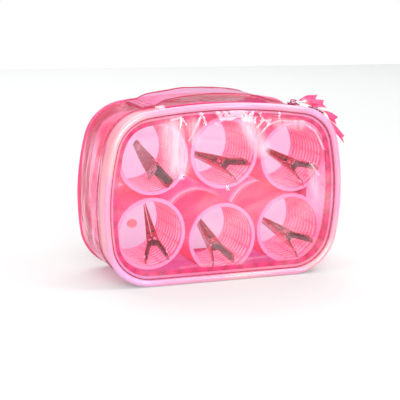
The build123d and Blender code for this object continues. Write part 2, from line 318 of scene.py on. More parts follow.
def clear_sheet(name, tint, tint_far, haze, haze_colour, haze_scale, deep=None, hem=None, painted_streaks=False,
                painted_foot_glow=None, painted_end_highlight=None):
    """Tinted clear vinyl: it passes light with its own colour, hazes in places and mirrors by Fresnel.
    deep is painted shade: a stronger tint that it takes away from the roller ends, so that it lies between
    the rollers; hem is one near its back edge; painted_foot_glow is a painted glow, an emission at the foot
    of the case; and painted_end_highlight is the milky tone of the painted highlights that the upright end
    beside the hinge takes in streaks."""
    material, tree = new_material(name)
    coords = object_coords(tree)
    drift = noise_of(tree, coords, (9, 9, 14), 2.0, 0.55, 0.4)
    colour = mix_colour(tree, ramp(tree, drift, 0, 1, 0.35, 0.68), tint, tint_far)
    # painted shade: the deeper tint lies between the roller ends
    if deep is not None:
        ends = near_points(tree, coords, ROLLER_PLACES, 27.0, 34.0)
        colour = mix_colour(tree, ends, deep, colour)
    cloud = noise_of(tree, coords, haze_scale, 3.0, 0.6, 1.2, turn=(0, 0.5, 0))
    milky = ramp(tree, cloud, haze[0], haze[1], 0.42, 0.74)
    if hem is not None:
        colour, haze_colour, milky = hemmed(tree, coords, hem, colour, haze_colour, milky)
    # painted highlights: milky streaks on the upright end beside the hinge
    if painted_end_highlight is not None:
        end_highlight = painted_hinge_end_highlights(tree, coords)
        haze_colour = mix_colour(tree, end_highlight, haze_colour, painted_end_highlight)
        milky = maths(tree, "MAXIMUM", milky, end_highlight)
    # painted reflections: milky streaks along the front folds and broad patches beside them
    if painted_streaks:
        milky = maths(tree, "MAXIMUM", milky, painted_reflections(tree, coords))
    ripple = noise_of(tree, coords, (60, 60, 40), 2.0, 0.5, 0.6)
    normal = bump(tree, ripple, 0.35, 0.0012)
    body = vinyl_body(tree, milky, colour, haze_colour, normal)
    # painted glow: an emission at the foot of the case that stands in for light there
    if painted_foot_glow is not None:
        low = ramp(tree, axis(tree, coords, "Z"), 0.75, 0.0, 8.0 * MM, 34.0 * MM)
        painted_glow = add(tree, "ShaderNodeEmission", {"Color": painted_foot_glow, "Strength": 0.95}).outputs[0]
        body = mix_shader(tree, low, body, painted_glow)
    mirror = add(tree, "ShaderNodeBsdfGlossy", {"Roughness": 0.05, "Normal": normal}).outputs[0]
    output(tree, mix_shader(tree, sheet_fresnel(tree, normal), body, mirror))
    return material


def pearl_vinyl(name, base, cool, warm, depth):
    """Pearly vinyl: a pale skin whose colour drifts along the run, with a glossy coat."""
    material, tree = new_material(name)
    coords = object_coords(tree)
    drift = noise_of(tree, coords, (16, 16, 22), 1.0, 0.5, 0.2)
    colour = mix_colour(tree, ramp(tree, drift, 0, 1, 0.30, 0.52), cool, base)
    colour = mix_colour(tree, ramp(tree, drift, 0, depth, 0.52, 0.72), colour, warm)
    fine = noise_of(tree, coords, (420, 420, 420))
    normal = bump(tree, fine, 0.12, 0.0004)
    shader = principled(tree, {
        "Base Color": colour, "Roughness": 0.3, "Normal": normal, "Coat Weight": 0.6,
        "Coat Roughness": 0.08, "Subsurface Weight": 0.25, "Subsurface Radius": (0.004, 0.002, 0.003),
        "Sheen Weight": 0.15})
    output(tree, shader)
    return material


def ribbed_tape(name, colour, groove_shade, pitch, depth, glow):
    """Grosgrain or woven tape with cross ribs of the given pitch and depth, in millimetres; its grooves take
    painted shade.
    """
    waves_per_unit = 20.0
    thread_pitch = 0.45
    material, tree = new_material(name)
    coords = run_coords(tree)
    ribs = add(tree, "ShaderNodeTexWave", {
        "Vector": coords, "Scale": 1000.0 / pitch / waves_per_unit, "Distortion": 0.6,
        "Detail": 2.0, "Detail Scale": 3.0}, wave_type="BANDS", bands_direction="X")
    threads = add(tree, "ShaderNodeTexWave", {
        "Vector": coords, "Scale": 1000.0 / thread_pitch / waves_per_unit, "Distortion": 0.3},
        wave_type="BANDS", bands_direction="Y")
    wear = noise_of(tree, object_coords(tree), (70, 70, 70), 3.0)
    # painted shade: the grooves between ribs take the darker colour; the wear noise adds random darker
    # patches
    shade = maths(tree, "MULTIPLY", ribs.outputs["Fac"], ramp(tree, wear, 0.6, 1.0, 0.3, 0.7))
    tone = mix_colour(tree, shade, groove_shade, colour)
    height = maths(tree, "ADD", ribs.outputs["Fac"], maths(tree, "MULTIPLY", threads.outputs["Fac"], 0.3))
    normal = bump(tree, height, 0.8, depth * MM)
    shader = principled(tree, {
        "Base Color": tone, "Roughness": 0.62, "Normal": normal, "Sheen Weight": 0.4,
        "Sheen Roughness": 0.4})
    through = translucent(tree, tone, normal)
    output(tree, mix_shader(tree, glow, shader, through))
    return material


def moulded(name, colour, deep, rough, glow, painted_glow=0.0, painted_face_light=None):
    """Moulded plastic that lets some light through, with flow marks and a fine skin. painted_face_light is a
    painted
    highlight: the paler tone of the faces that look along Y, such as a roller's ring faces, with less of it
    at the front rim. The emission in the plastic's own colour is a painted glow."""
    material, tree = new_material(name)
    coords = object_coords(tree)
    flow = noise_of(tree, coords, (40, 12, 40), 3.0, 0.55, 0.5)
    tone = mix_colour(tree, ramp(tree, flow, 0, 1, 0.35, 0.7), deep, colour)
    # painted highlight: faces that look along Y take a paler tone, less of it at the front rim
    if painted_face_light is not None:
        facing = add(tree, "ShaderNodeNewGeometry").outputs["True Normal"]
        along = axis(tree, facing, "Y")
        share = ramp(tree, maths(tree, "ABSOLUTE", along), 0.0, 1.0, 0.4, 0.8)
        depth = axis(tree, coords, "Y")
        past_rim = ramp(tree, depth, 0.3, 1.0, (ROLLER_FRONT_Y + 2.0) * MM, (ROLLER_FRONT_Y + 3.0) * MM)
        share = maths(tree, "MULTIPLY", share, past_rim)
        tone = mix_colour(tree, share, tone, painted_face_light)
    skin = noise_of(tree, coords, (900, 900, 900))
    normal = bump(tree, skin, 0.15, 0.0003)
    roughness = ramp(tree, flow, rough + 0.08, rough - 0.06, 0.3, 0.7)
    # painted glow: emission in the plastic's own colour, at the given strength
    shader = principled(tree, {
        "Base Color": tone, "Roughness": roughness, "Normal": normal, "Emission Color": colour,
        "Emission Strength": painted_glow})
    through = translucent(tree, tone, normal)
    output(tree, mix_shader(tree, glow, shader, through))
    return material


def hook_fabric(name, colour, deep, painted_glow_colour, strength):
    """Nylon hook tape: the ground weave under the hooks, which passes light to both sides, with a painted
    glow.
    """
    material, tree = new_material(name)
    coords = object_coords(tree)
    cells = add(tree, "ShaderNodeTexVoronoi", {"Vector": scaled(tree, coords, (700, 450, 700))})
    patch = noise_of(tree, coords, (55, 55, 55), 3.0)
    tone = mix_colour(tree, ramp(tree, patch, 0, 1, 0.35, 0.65), deep, colour)
    normal = bump(tree, cells.outputs["Distance"], 0.6, 0.0005)
    # painted glow: the emission brightens the tape where it lies in shade
    shader = principled(tree, {
        "Base Color": tone, "Roughness": 0.55, "Normal": normal, "Sheen Weight": 0.3,
        "Emission Color": painted_glow_colour, "Emission Strength": strength})
    through = translucent(tree, tone, normal)
    output(tree, mix_shader(tree, 0.55, shader, through))
    return material


def metal(name, colour, rub, rough, metallic, scratch=(900, 60, 900), coat=0.0):
    """Pressed or drawn metal: fine scratches, and a rubbed tone where the noise is high."""
    material, tree = new_material(name)
    coords = object_coords(tree)
    smudge = noise_of(tree, coords, (110, 110, 110), 3.0, 0.6)
    lines = noise_of(tree, coords, scratch, 2.0)
    tone = mix_colour(tree, ramp(tree, smudge, 0, 1, 0.45, 0.75), colour, rub)
    roughness = ramp(tree, smudge, rough - 0.07, rough + 0.1, 0.3, 0.7)
    normal = bump(tree, lines, 0.12, 0.0002)
    shader = principled(tree, {
        "Base Color": tone, "Metallic": metallic, "Roughness": roughness, "Normal": normal,
        "Coat Weight": coat, "Coat Roughness": 0.12})
    output(tree, shader)
    return material


def satin(name, colour, shade):
    """Satin ribbon: long warp threads with a soft sheen across them."""
    material, tree = new_material(name)
    coords = run_coords(tree)
    weave = add(tree, "ShaderNodeTexWave", {
        "Vector": coords, "Scale": 140.0, "Distortion": 0.8, "Detail": 2.0}, wave_type="BANDS",
        bands_direction="Y")
    patch = noise_of(tree, object_coords(tree), (150, 150, 150), 2.0)
    tone = mix_colour(tree, ramp(tree, patch, 0, 1, 0.3, 0.7), shade, colour)
    normal = bump(tree, weave.outputs["Fac"], 0.5, 0.0002)
    shader = principled(tree, {
        "Base Color": tone, "Roughness": 0.38, "Normal": normal, "Sheen Weight": 0.6,
        "Sheen Roughness": 0.3})
    through = add(tree, "ShaderNodeBsdfTranslucent", {"Color": tone}).outputs[0]
    output(tree, mix_shader(tree, 0.25, shader, through))
    return material


def stage_material(name, colour, glow):
    """Pale matt floor that also shines a little, so that its shadows stay light and neutral."""
    material, tree = new_material(name)
    grain = noise_of(tree, object_coords(tree), (30, 30, 30), 2.0)
    tone = mix_colour(tree, grain, colour, tuple(min(1.0, c * 1.01) for c in colour[:3]) + (1.0,))
    shader = principled(tree, {
        "Base Color": tone, "Roughness": 0.9, "Emission Color": (1, 1, 1, 1), "Emission Strength": glow})
    output(tree, shader)
    return material


# ---------------------------------------------------------------- outline

def tangent_centres():
    """Centres of the base and top corner arcs (x, z) on the +X side."""
    side_x = CASE_W / 2 - SIDE_R
    drop = SIDE_Z - BASE_CORNER_R
    base = (side_x + math.sqrt((SIDE_R - BASE_CORNER_R) ** 2 - drop ** 2), BASE_CORNER_R)
    a = SIDE_R - TOP_CORNER_R
    b = TOP_R - TOP_CORNER_R
    dx, dz = -side_x, CASE_H - TOP_R - SIDE_Z
    d = math.hypot(dx, dz)
    along = (a * a - b * b + d * d) / (2 * d)
    across = math.sqrt(a * a - along * along)
    ux, uz = dx / d, dz / d
    top = (side_x + ux * along - uz * across, SIDE_Z + uz * along + ux * across)
    return base, top


BASE_C, TOP_C = tangent_centres()
SIDE_C = (CASE_W / 2 - SIDE_R, SIDE_Z)
ARCH_C = (0.0, CASE_H - TOP_R)


def angle_to(centre, point):
    """Angle of the line from a centre to a point, in the X-Z plane."""
    return math.atan2(point[1] - centre[1], point[0] - centre[0])


def outline_loop(step):
    """Stations round the outline from the zip's lower end: rows of x, z, normal x, normal z, run."""
    low, high, arch = angle_to(SIDE_C, BASE_C), angle_to(SIDE_C, TOP_C), angle_to(ARCH_C, TOP_C)
    left = [(-c[0], c[1]) for c in (TOP_C, SIDE_C, BASE_C)]
    arcs = [
        (BASE_C, BASE_CORNER_R, -math.pi / 2, low),
        (SIDE_C, SIDE_R, low, high),
        (TOP_C, TOP_CORNER_R, high, arch),
        (ARCH_C, TOP_R, arch, math.pi - arch),
        (left[0], TOP_CORNER_R, math.pi - arch, math.pi - high),
        (left[1], SIDE_R, math.pi - high, math.pi - low),
        (left[2], BASE_CORNER_R, math.pi - low, math.pi * 1.5),
    ]
    rows = []
    flat_n = int((BASE_C[0] - ZIP_START_X) / step)
    for i in range(flat_n):
        x = ZIP_START_X + (BASE_C[0] - ZIP_START_X) * i / flat_n
        rows.append((x, 0.0, 0.0, -1.0))
    for centre, radius, start, end in arcs:
        n = max(2, int(abs(end - start) * radius / step))
        for i in range(n):
            t = start + (end - start) * i / n
            c, s = math.cos(t), math.sin(t)
            rows.append((centre[0] + radius * c, centre[1] + radius * s, c, s))
    rest = ZIP_START_X + BASE_C[0]
    rest_n = max(1, int(rest / step))
    for i in range(rest_n):
        rows.append((-BASE_C[0] + rest * i / rest_n, 0.0, 0.0, -1.0))
    rows = np.array(rows)
    hops = np.hypot(*(np.roll(rows[:, :2], -1, 0) - rows[:, :2]).T)
    run = np.concatenate([[0.0], np.cumsum(hops)[:-1]])
    return np.column_stack([rows, run]), float(hops.sum())


LOOP, LOOP_LENGTH = outline_loop(STATION_STEP)


def zip_end_index(loop):
    """Index of the station on the arch where the zip stops."""
    top = [i for i in range(len(loop)) if loop[i, 3] > 0.5 and loop[i, 0] <= ZIP_START_X]
    return top[0]


ZIP_END = zip_end_index(LOOP)
ZIP_RUN = LOOP[:ZIP_END + 1]
CLOSED_LOOP = np.vstack([LOOP, LOOP[:1] + np.array([0, 0, 0, 0, LOOP_LENGTH])])
HINGE_RUN = CLOSED_LOOP[ZIP_END:]


def station_at(run):
    """x, z, normal x, normal z at a run length, by interpolation."""
    at = run % LOOP_LENGTH
    return [float(np.interp(at, CLOSED_LOOP[:, 4], CLOSED_LOOP[:, k])) for k in range(4)]


def ripple(x, y, z, size, seed):
    """Smooth noise of about -1 to 1 at a point in millimetres."""
    return noise.noise(Vector((x / size + seed, y / size, z / size + seed * 0.37)))


# ---------------------------------------------------------------- mesh helpers

def put(name, data):
    """A new object in the scene."""
    obj = bpy.data.objects.new(name, data)
    bpy.context.scene.collection.objects.link(obj)
    return obj


def beside(station, off, y):
    """Place in metres at an offset from a station of the outline."""
    x, z, nx, nz = station[:4]
    return ((x + nx * off) * MM, y * MM, (z + nz * off) * MM)


def mesh_object(name, verts, faces, material, smooth=35.0, uvs=None):
    """An object from vertices in metres, with edges sharper than smooth degrees left sharp."""
    mesh = bpy.data.meshes.new(name)
    mesh.from_pydata([tuple(v) for v in verts], [], faces)
    mesh.validate()
    if uvs is not None:
        layer = mesh.uv_layers.new(name="run")
        loops = np.zeros(len(mesh.loops), np.int32)
        mesh.loops.foreach_get("vertex_index", loops)
        layer.data.foreach_set("uv", np.asarray(uvs, np.float32)[loops].ravel())
    mesh.materials.append(material)
    mesh.polygons.foreach_set("use_smooth", [True] * len(mesh.polygons))
    mesh.set_sharp_from_angle(angle=math.radians(smooth))
    mesh.update()
    return put(name, mesh)


def finish_piece(obj, body, slot, *nodes):
    """Put a finished piece on its body and hide the nodes it stands for; slot is not used."""
    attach(obj, body)
    if nodes:
        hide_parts(*nodes)


def fix_normals(obj):
    """Faces of a closed mesh turned to look outward."""
    bm = bmesh.new()
    bm.from_mesh(obj.data)
    bmesh.ops.recalc_face_normals(bm, faces=bm.faces)
    bm.to_mesh(obj.data)
    bm.free()
    obj.data.set_sharp_from_angle(angle=math.radians(35))
    return obj


def densify(section, step):
    """More points along a closed section (off, y), no further apart than step."""
    points = []
    for (a, b) in zip(section, section[1:] + section[:1]):
        n = max(1, int(math.ceil(math.hypot(b[0] - a[0], b[1] - a[1]) / step)))
        points += [(a[0] + (b[0] - a[0]) * i / n, a[1] + (b[1] - a[1]) * i / n) for i in range(n)]
    return points


def grid_faces(rows, across, closed=False, tube=False):
    """Quads between rows of vertices: closed joins the last row to the first, tube joins each
    row's last vertex to its first."""
    faces = []
    for i in range(rows if closed else rows - 1):
        j = (i + 1) % rows
        for k in range(across if tube else across - 1):
            m = (k + 1) % across
            faces.append((i * across + k, j * across + k, j * across + m, i * across + m))
    return faces


def flipped(faces):
    """The same quads seen from the other side, each from the same first vertex."""
    return [(a, d, c, b) for a, b, c, d in faces]


def end_caps(rows, across):
    """The two faces that close the ends of a tube."""
    last = (rows - 1) * across
    return [tuple(range(across))[::-1], tuple(range(last, last + across))]


def sweep(name, section, stations, closed, material, wobble=None):
    """Closed section (off, y) drawn along the outline; wobble(x, y, z, off) gives what is added to
    a point's offset and to its y."""
    count, across = len(stations), len(section)
    verts, uvs = [], []
    girth = np.cumsum([0.0] + [
        math.hypot(b[0] - a[0], b[1] - a[1]) for a, b in zip(section, section[1:])])
    for station in stations:
        for k, (off, y) in enumerate(section):
            push_off, push_y = (0.0, 0.0) if wobble is None else wobble(station[0], y, station[1], off)
            verts.append(beside(station, off + push_off, y + push_y))
            uvs.append((station[4] * MM, girth[k] * MM))
    faces = grid_faces(count, across, closed, tube=True)
    if not closed:
        faces += end_caps(count, across)
    return fix_normals(mesh_object(name, verts, faces, material, 35.0, uvs))


def trim(name, section, stations, body, slot, material, *nodes, wobble=None):
    """A swept piece on its body; one that follows the whole outline is closed."""
    obj = sweep(name, section, stations, stations is LOOP, MAT[material], wobble)
    finish_piece(obj, body, slot, *nodes)
    return obj


def circle_section(off, y, radius, sides):
    """Round section (off, y) of a cord."""
    turns = [2 * math.pi * k / sides for k in range(sides)]
    return [(off + radius * math.cos(t), y + radius * math.sin(t)) for t in turns]


def rectangle(off0, off1, y0, y1):
    """Flat section (off, y) of a band."""
    return [(off0, y0), (off1, y0), (off1, y1), (off0, y1)]


def tube_along(points, radius, sides, taper=None):
    """Vertices and faces of a capped round tube through points (metres)."""
    verts = []
    count = len(points)
    up = Vector((0.123, 0.5, 0.86))
    for i, p in enumerate(points):
        ahead = points[min(i + 1, count - 1)] - points[max(i - 1, 0)]
        ahead.normalize()
        side = ahead.cross(up)
        if side.length < 1e-4:
            side = ahead.cross(Vector((1, 0, 0)))
        side.normalize()
        other = ahead.cross(side)
        r = radius if taper is None else radius * taper[i]
        for k in range(sides):
            t = 2 * math.pi * k / sides
            verts.append(p + side * (r * math.cos(t)) + other * (r * math.sin(t)))
    return verts, flipped(grid_faces(count, sides, tube=True)) + end_caps(count, sides)


def gather(parts):
    """One vertex list and one face list from several."""
    verts, faces = [], []
    for part_verts, part_faces in parts:
        base = len(verts)
        verts += list(part_verts)
        faces += [tuple(base + i for i in f) for f in part_faces]
    return verts, faces


# ---------------------------------------------------------------- palette

def make_materials():
    """Every finish, by name."""
    white_pink = rgba(255, 244, 250)
    return {
        # the lid vinyl's milky streaks and patches are painted reflections
        "lid_clear": clear_sheet(
            "lid_clear", rgba(255, 230, 246), rgba(255, 216, 238), (0.02, 0.22), white_pink, (10, 10, 20),
            painted_streaks=True),
        # the case vinyl's glow at its foot and its milky streaks beside the hinge are painted light
        "case_clear": clear_sheet(
            "case_clear", rgba(255, 206, 236), rgba(255, 150, 206), (0.10, 0.46),
            rgba(250, 160, 204), (30, 12, 26), hem=rgba(240, 76, 138),
            painted_foot_glow=rgba(255, 84, 164), painted_end_highlight=rgba(252, 208, 234)),
        # the back vinyl's deeper tint between the rollers is painted shade
        "back_clear": clear_sheet(
            "back_clear", rgba(254, 216, 240), rgba(252, 206, 236), (0.04, 0.12),
            rgba(255, 160, 205), (12, 12, 16), deep=rgba(253, 74, 146)),
        "strap_clear": clear_sheet(
            "strap_clear", rgba(255, 196, 230), rgba(244, 170, 240), (0.4, 0.8),
            rgba(250, 140, 204), (24, 14, 24)),
        "strip": pearl_vinyl("strip", rgba(222, 108, 136), rgba(214, 90, 132), rgba(228, 134, 148), 0.6),
        "piping_pearl": pearl_vinyl(
            "piping_pearl", rgba(208, 128, 158), rgba(196, 142, 182), rgba(218, 156, 154), 0.7),
        "piping_pink": pearl_vinyl(
            "piping_pink", rgba(212, 50, 108), rgba(200, 40, 106), rgba(218, 80, 126), 0.6),
        "seam_red": ribbed_tape("seam_red", rgba(196, 38, 88), rgba(160, 24, 66), 1.0, 0.15, 0.1),
        "grosgrain": ribbed_tape("grosgrain", rgba(244, 40, 132), rgba(200, 8, 92), 2.2, 0.45, 0.25),
        "binding": ribbed_tape("binding", rgba(240, 92, 146), rgba(214, 60, 118), 1.3, 0.35, 0.4),
        "zip_tape": ribbed_tape("zip_tape", rgba(250, 160, 196), rgba(236, 120, 170), 0.8, 0.15, 0.4),
        "zip_coil": moulded("zip_coil", rgba(232, 52, 140), rgba(196, 20, 110), 0.35, 0.15),
        "zip_end": pearl_vinyl("zip_end", rgba(252, 176, 200), rgba(246, 150, 184), rgba(255, 200, 206), 0.5),
        "patch": moulded("patch", rgba(255, 222, 216), rgba(255, 202, 202), 0.3, 0.3),
        "nickel": metal("nickel", (0.82, 0.80, 0.81, 1), (0.62, 0.55, 0.58, 1), 0.2, 1.0),
        "slider_dark": metal("slider_dark", rgba(150, 70, 100), rgba(205, 150, 170), 0.28, 0.9),
        "ribbon": satin("ribbon", rgba(250, 78, 132), rgba(226, 46, 104)),
        # the roller's glow and the paler faces that look along Y are painted light
        "roller": moulded(
            "roller", rgba(255, 150, 192), rgba(250, 128, 176), 0.32, 0.22, painted_glow=0.1,
            painted_face_light=rgba(255, 214, 230)),
        # the sleeve's glow is painted light
        "sleeve": hook_fabric(
            "sleeve", rgba(255, 116, 184), rgba(252, 92, 166), rgba(255, 96, 170), 0.5),
        "hook": moulded("hook", rgba(255, 128, 186), rgba(250, 96, 160), 0.35, 0.5),
        "clip": metal("clip", rgba(186, 74, 100), rgba(220, 128, 146), 0.27, 0.85, coat=0.4),
        "pin": metal("pin", (0.80, 0.79, 0.80, 1), (0.66, 0.60, 0.62, 1), 0.18, 1.0),
        "spring": metal("spring", rgba(112, 62, 80), rgba(150, 96, 112), 0.3, 0.85, (60, 700, 700)),
        "thread": moulded("thread", rgba(255, 190, 214), rgba(250, 150, 190), 0.5, 0.3),
    }


MAT = make_materials()


# ---------------------------------------------------------------- case shell

def panel_sheet(name, y, inset, rings, relief, material):
    """One vinyl panel: rings of the outline shrinking to a middle point, pushed along Y by relief."""
    middle = Vector((0.0, y, 70.0))
    verts, uvs = [], []
    count = len(LOOP)
    for r in range(rings):
        share = (r / rings) ** 0.85
        for x, z, nx, nz, _ in LOOP:
            px, pz = x - nx * inset, z - nz * inset
            px += (middle.x - px) * share
            pz += (middle.z - pz) * share
            verts.append((px * MM, (y + relief(px, pz)) * MM, pz * MM))
            uvs.append((px * MM, pz * MM))
    verts.append((middle.x * MM, (y + relief(middle.x, middle.z)) * MM, middle.z * MM))
    uvs.append((middle.x * MM, middle.z * MM))
    last = len(verts) - 1
    faces = flipped(grid_faces(rings, count, tube=True))
    base = (rings - 1) * count
    for i in range(count):
        faces.append((base + i, base + (i + 1) % count, last))
    return mesh_object(name, verts, faces, material, 60.0, uvs)


def edge_fade(x, z, inner, outer):
    """0 at the panel's sewn edge, 1 well inside it."""
    margin = 6.0
    arch_drop = 0.0011 * x * x
    side = CASE_W / 2 - margin - abs(x)
    height = min(z - margin, CASE_H - margin - z - arch_drop)
    depth = max(0.0, min(side, height))
    t = max(0.0, min(1.0, (depth - outer) / (inner - outer)))
    return t * t * (3 - 2 * t)


def fold(x, z, ax, az, bx, bz, width, height):
    """A soft raised fold between two points of a panel."""
    dx, dz = bx - ax, bz - az
    t = max(0.0, min(1.0, ((x - ax) * dx + (z - az) * dz) / (dx * dx + dz * dz)))
    gap = math.hypot(x - ax - dx * t, z - az - dz * t)
    return 0.8 * height * math.exp(-(gap / (1.3 * width)) ** 2)


def front_relief(x, z):
    """The front vinyl swells a little outward in slack waves, and folds near its top corners."""
    fade = edge_fade(x, z, 16.0, 0.0)
    wave = 0.55 + 0.45 * ripple(x, 0, z, 46.0, 3.1) + 0.16 * ripple(x, 0, z, 17.0, 8.4)
    creases = max(fold(x, z, *spec) for spec in FRONT_FOLDS)
    return -fade * max(0.0, wave * 0.9 + creases)


def back_relief(x, z):
    """The back vinyl swells a little outward in slack waves."""
    fade = edge_fade(x, z, 18.0, 0.0)
    wave = 0.5 + 0.5 * ripple(x, 5, z, 40.0, 6.3) + 0.15 * ripple(x, 5, z, 15.0, 2.2)
    return fade * max(0.0, wave)


def front_panel():
    """The window the rollers are seen through."""
    obj = panel_sheet("front_sheet", PANEL_Y, 5.7, 44, front_relief, MAT["lid_clear"])
    finish_piece(obj, "lid", "lid_pvc", "front_panel")


def back_panel():
    """The panel behind the rollers."""
    obj = panel_sheet("back_sheet", BACK_Y, 4.85, 40, back_relief, MAT["back_clear"])
    finish_piece(obj, "case", "case_pvc", "back_panel")


def cord_wobble(seed, amount):
    """A welt's slight unevenness, for sweep()."""
    def wobble(x, y, z, _):
        return (amount * ripple(x, y, z, 22.0, seed), amount * ripple(x, y, z, 18.0, seed + 5))
    return wobble


def pipings():
    """Round welts over their cords, each with the flange that is sewn into the seam."""
    front = circle_section(-FRONT_CORD_R, FRONT_CORD_Y, FRONT_CORD_R, 18)
    trim("front_welt", front, LOOP, "lid", "piping_pearl", "piping_pearl", "front_piping",
         wobble=cord_wobble(1.7, 0.12))
    flange = densify(rectangle(-4.2, -8.4, -35.1, -34.7), 1.2)
    trim("front_welt_flange", flange, LOOP, "lid", "piping_pearl", "piping_pearl")
    back = circle_section(-BACK_CORD_R, BACK_CORD_Y, BACK_CORD_R, 16)
    trim("back_welt", back, LOOP, "case", "piping_pink", "piping_pink", "back_piping",
         wobble=cord_wobble(4.1, 0.12))
    flange = densify(rectangle(-3.8, -9.0, 34.75, 35.1), 1.2)
    trim("back_welt_flange", flange, LOOP, "case", "piping_pink", "piping_pink")


def bindings():
    """Grosgrain bound over the raw seam edges, with the thread that closes them."""
    def wave_inner(x, y, z, off):
        inward = max(0.0, min(1.0, (-off - 8.2) / 3.0))
        return (inward * 0.45 * ripple(x, y, z, 16.0, 2.0), 0.0)
    band = densify(rectangle(-6.0, -12.0, -34.5, -33.5), 0.9)
    trim("front_grosgrain", band, LOOP, "lid", "grosgrain_magenta", "grosgrain", "front_binding",
         wobble=wave_inner)
    seam = circle_section(-6.1, -35.95, 0.42, 8)
    trim("front_seam", seam, LOOP, "lid", "grosgrain_magenta", "seam_red")
    band = densify(rectangle(-5.2, -9.9, 34.05, 34.55), 0.9)
    trim("back_grosgrain", band, LOOP, "case", "binding_pink", "binding", "back_binding", wobble=wave_inner)


def gusset():
    """The vinyl band round the case: it buckles between its sewn edges, most where it is unloaded."""
    skin, front_y, back_y = -1.3, -19.0, 33.9
    wall, turn_in = 34, 5
    section = [(skin, front_y + 52.9 * k / wall) for k in range(wall + 1)]
    section += [(skin - 7.2 * k / turn_in, back_y) for k in range(1, turn_in + 1)]
    verts, uvs = [], []
    for x, z, nx, nz, run in LOOP:
        sink = 0.35 if nz < -0.5 else 1.0
        for off, y in section:
            middle = max(0.0, math.sin(math.pi * (y - front_y) / 53.0))
            buckle = 0.9 * ripple(x, y * 0.6, z, 20.0, 9.2) + 0.5 * ripple(x, y * 1.6, z, 9.0, 1.4)
            crease = 0.5 * math.sin(run / 7.5 + 2.2 * ripple(x, y, z, 26.0, 4.4) + y / 9.0)
            reach = off + middle * sink * (buckle + crease - 0.7) if y < back_y - 0.1 else off
            verts.append(beside((x, z, nx, nz), min(reach, -0.15), y))
            uvs.append((run * MM, y * MM))
    faces = grid_faces(len(LOOP), len(section), closed=True)
    obj = mesh_object("gusset_sheet", verts, faces, MAT["case_clear"], 60.0, uvs)
    finish_piece(obj, "case", "case_pvc", "gusset")


def hinge_strip():
    """Strip on the left that joins lid and case where there is no zip."""
    def crimp(x, y, z, off):
        middle = max(0.0, math.sin(math.pi * (y + 33.3) / 20.3)) if off > -3 else 0.0
        return (middle * (0.28 * ripple(x, y, z, 11.0, 3.3) + 0.15), 0.0)
    leg = densify([(-10.4, -33.2), (-1.9, -33.2), (-1.9, -13.1), (-2.4, -13.1), (-2.4, -32.8),
                   (-10.4, -32.8)], 1.1)
    obj = sweep("hinge_sheet", leg, HINGE_RUN[1:-1], False, MAT["strip"], crimp)
    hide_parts("hinge_strip")
    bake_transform(obj)


def hinge_seams():
    """The red stitched lines that bound the hinge strip on both sides."""
    front = circle_section(-1.75, -33.7, 0.36, 8)
    trim("strip_seam_lid", front, HINGE_RUN, "lid", "strip_pink", "seam_red")
    back = circle_section(-1.35, -14.6, 0.34, 8)
    trim("strip_seam_case", back, HINGE_RUN[1:-1], "case", "strip_pink", "seam_red")


def zip_tapes():
    """The two tapes the coils are sewn to: the lid's turns in under the piping."""
    lid = densify([(-10.4, -33.2), (-2.0, -33.2), (-2.0, -25.95), (-2.4, -25.95), (-2.4, -32.8),
                   (-10.4, -32.8)], 1.1)
    obj = trim("lid_tape", lid, ZIP_RUN[1:], "lid", "zip_tape", "zip_tape", "zip_tape_lid")
    case = densify(rectangle(-2.0, -2.4, -24.45, -13.1), 1.1)
    obj = trim("case_tape", case, ZIP_RUN[1:], "case", "zip_tape", "zip_tape", "zip_tape_case")


def coil_row(name, side, material):
    """One side of the nylon coil: a loop per tooth, set half a pitch apart from the other side."""
    pitch, wire = 1.45, 0.34
    inner, outer = CHAIN_Y + side * 0.18, CHAIN_Y + side * 1.45
    start, end = ZIP_RUN[0][4] + 1.0, ZIP_RUN[-1][4] - 1.0
    parts = []
    for i in range(int((end - start) / pitch)):
        run = start + pitch * (i + (0.5 if side > 0 else 0.0))
        x, z, nx, nz = station_at(run)
        tx, tz = -nz, nx
        loop = [(outer, -0.72, 0.0), (inner + side * 0.25, -0.72, 0.0), (inner, -1.1, 0.1),
                (inner + side * 0.25, -1.5, 0.35), (outer, -1.5, 0.6)]
        points = [Vector(((x + nx * off + tx * shift) * MM, y * MM, (z + nz * off + tz * shift) * MM))
                  for y, off, shift in loop]
        parts.append(tube_along(points, wire * MM, 5))
    verts, faces = gather(parts)
    return mesh_object(name, verts, faces, material, 50.0)


def stitch_row(name, runs, off, y, material):
    """A row of lock stitches along the outline."""
    length, rise = 1.9, 0.14
    parts = []
    for run in runs:
        points = []
        for k in range(5):
            t = k / 4
            station = station_at(run + length * (t - 0.5))
            points.append(Vector(beside(station, off + rise * math.sin(math.pi * t), y)))
        parts.append(tube_along(points, 0.16 * MM, 5, (0.7, 1, 1, 1, 0.7)))
    verts, faces = gather(parts)
    return mesh_object(name, verts, faces, material, 50.0)


def zip_coils():
    """Both rows of teeth, and the stitches that hold them to their tapes."""
    obj = coil_row("coil_lid", -1, MAT["zip_coil"])
    finish_piece(obj, "lid", "zip_coil", "zip_chain_lid")
    obj = coil_row("coil_case", 1, MAT["zip_coil"])
    finish_piece(obj, "case", "zip_coil", "zip_chain_case")
    runs = np.arange(ZIP_RUN[0][4] + 2, ZIP_RUN[-1][4] - 2, 2.6)
    obj = stitch_row("tape_stitches_lid", runs, -1.95, -28.4, MAT["thread"])
    finish_piece(obj, "lid", "zip_tape")
    obj = stitch_row("tape_stitches_case", runs, -1.95, -20.6, MAT["thread"])
    finish_piece(obj, "case", "zip_tape")


STRAP_FRONT_Y, STRAP_BACK_Y = -14.5, 32.0
STRAP_HALF_SEAM = 52.0
STRAP_HALF_LENGTH = 62.0
STRAP_TURN = math.radians(0.55)
STRAP_ALONG, STRAP_ACROSS = 96, 26


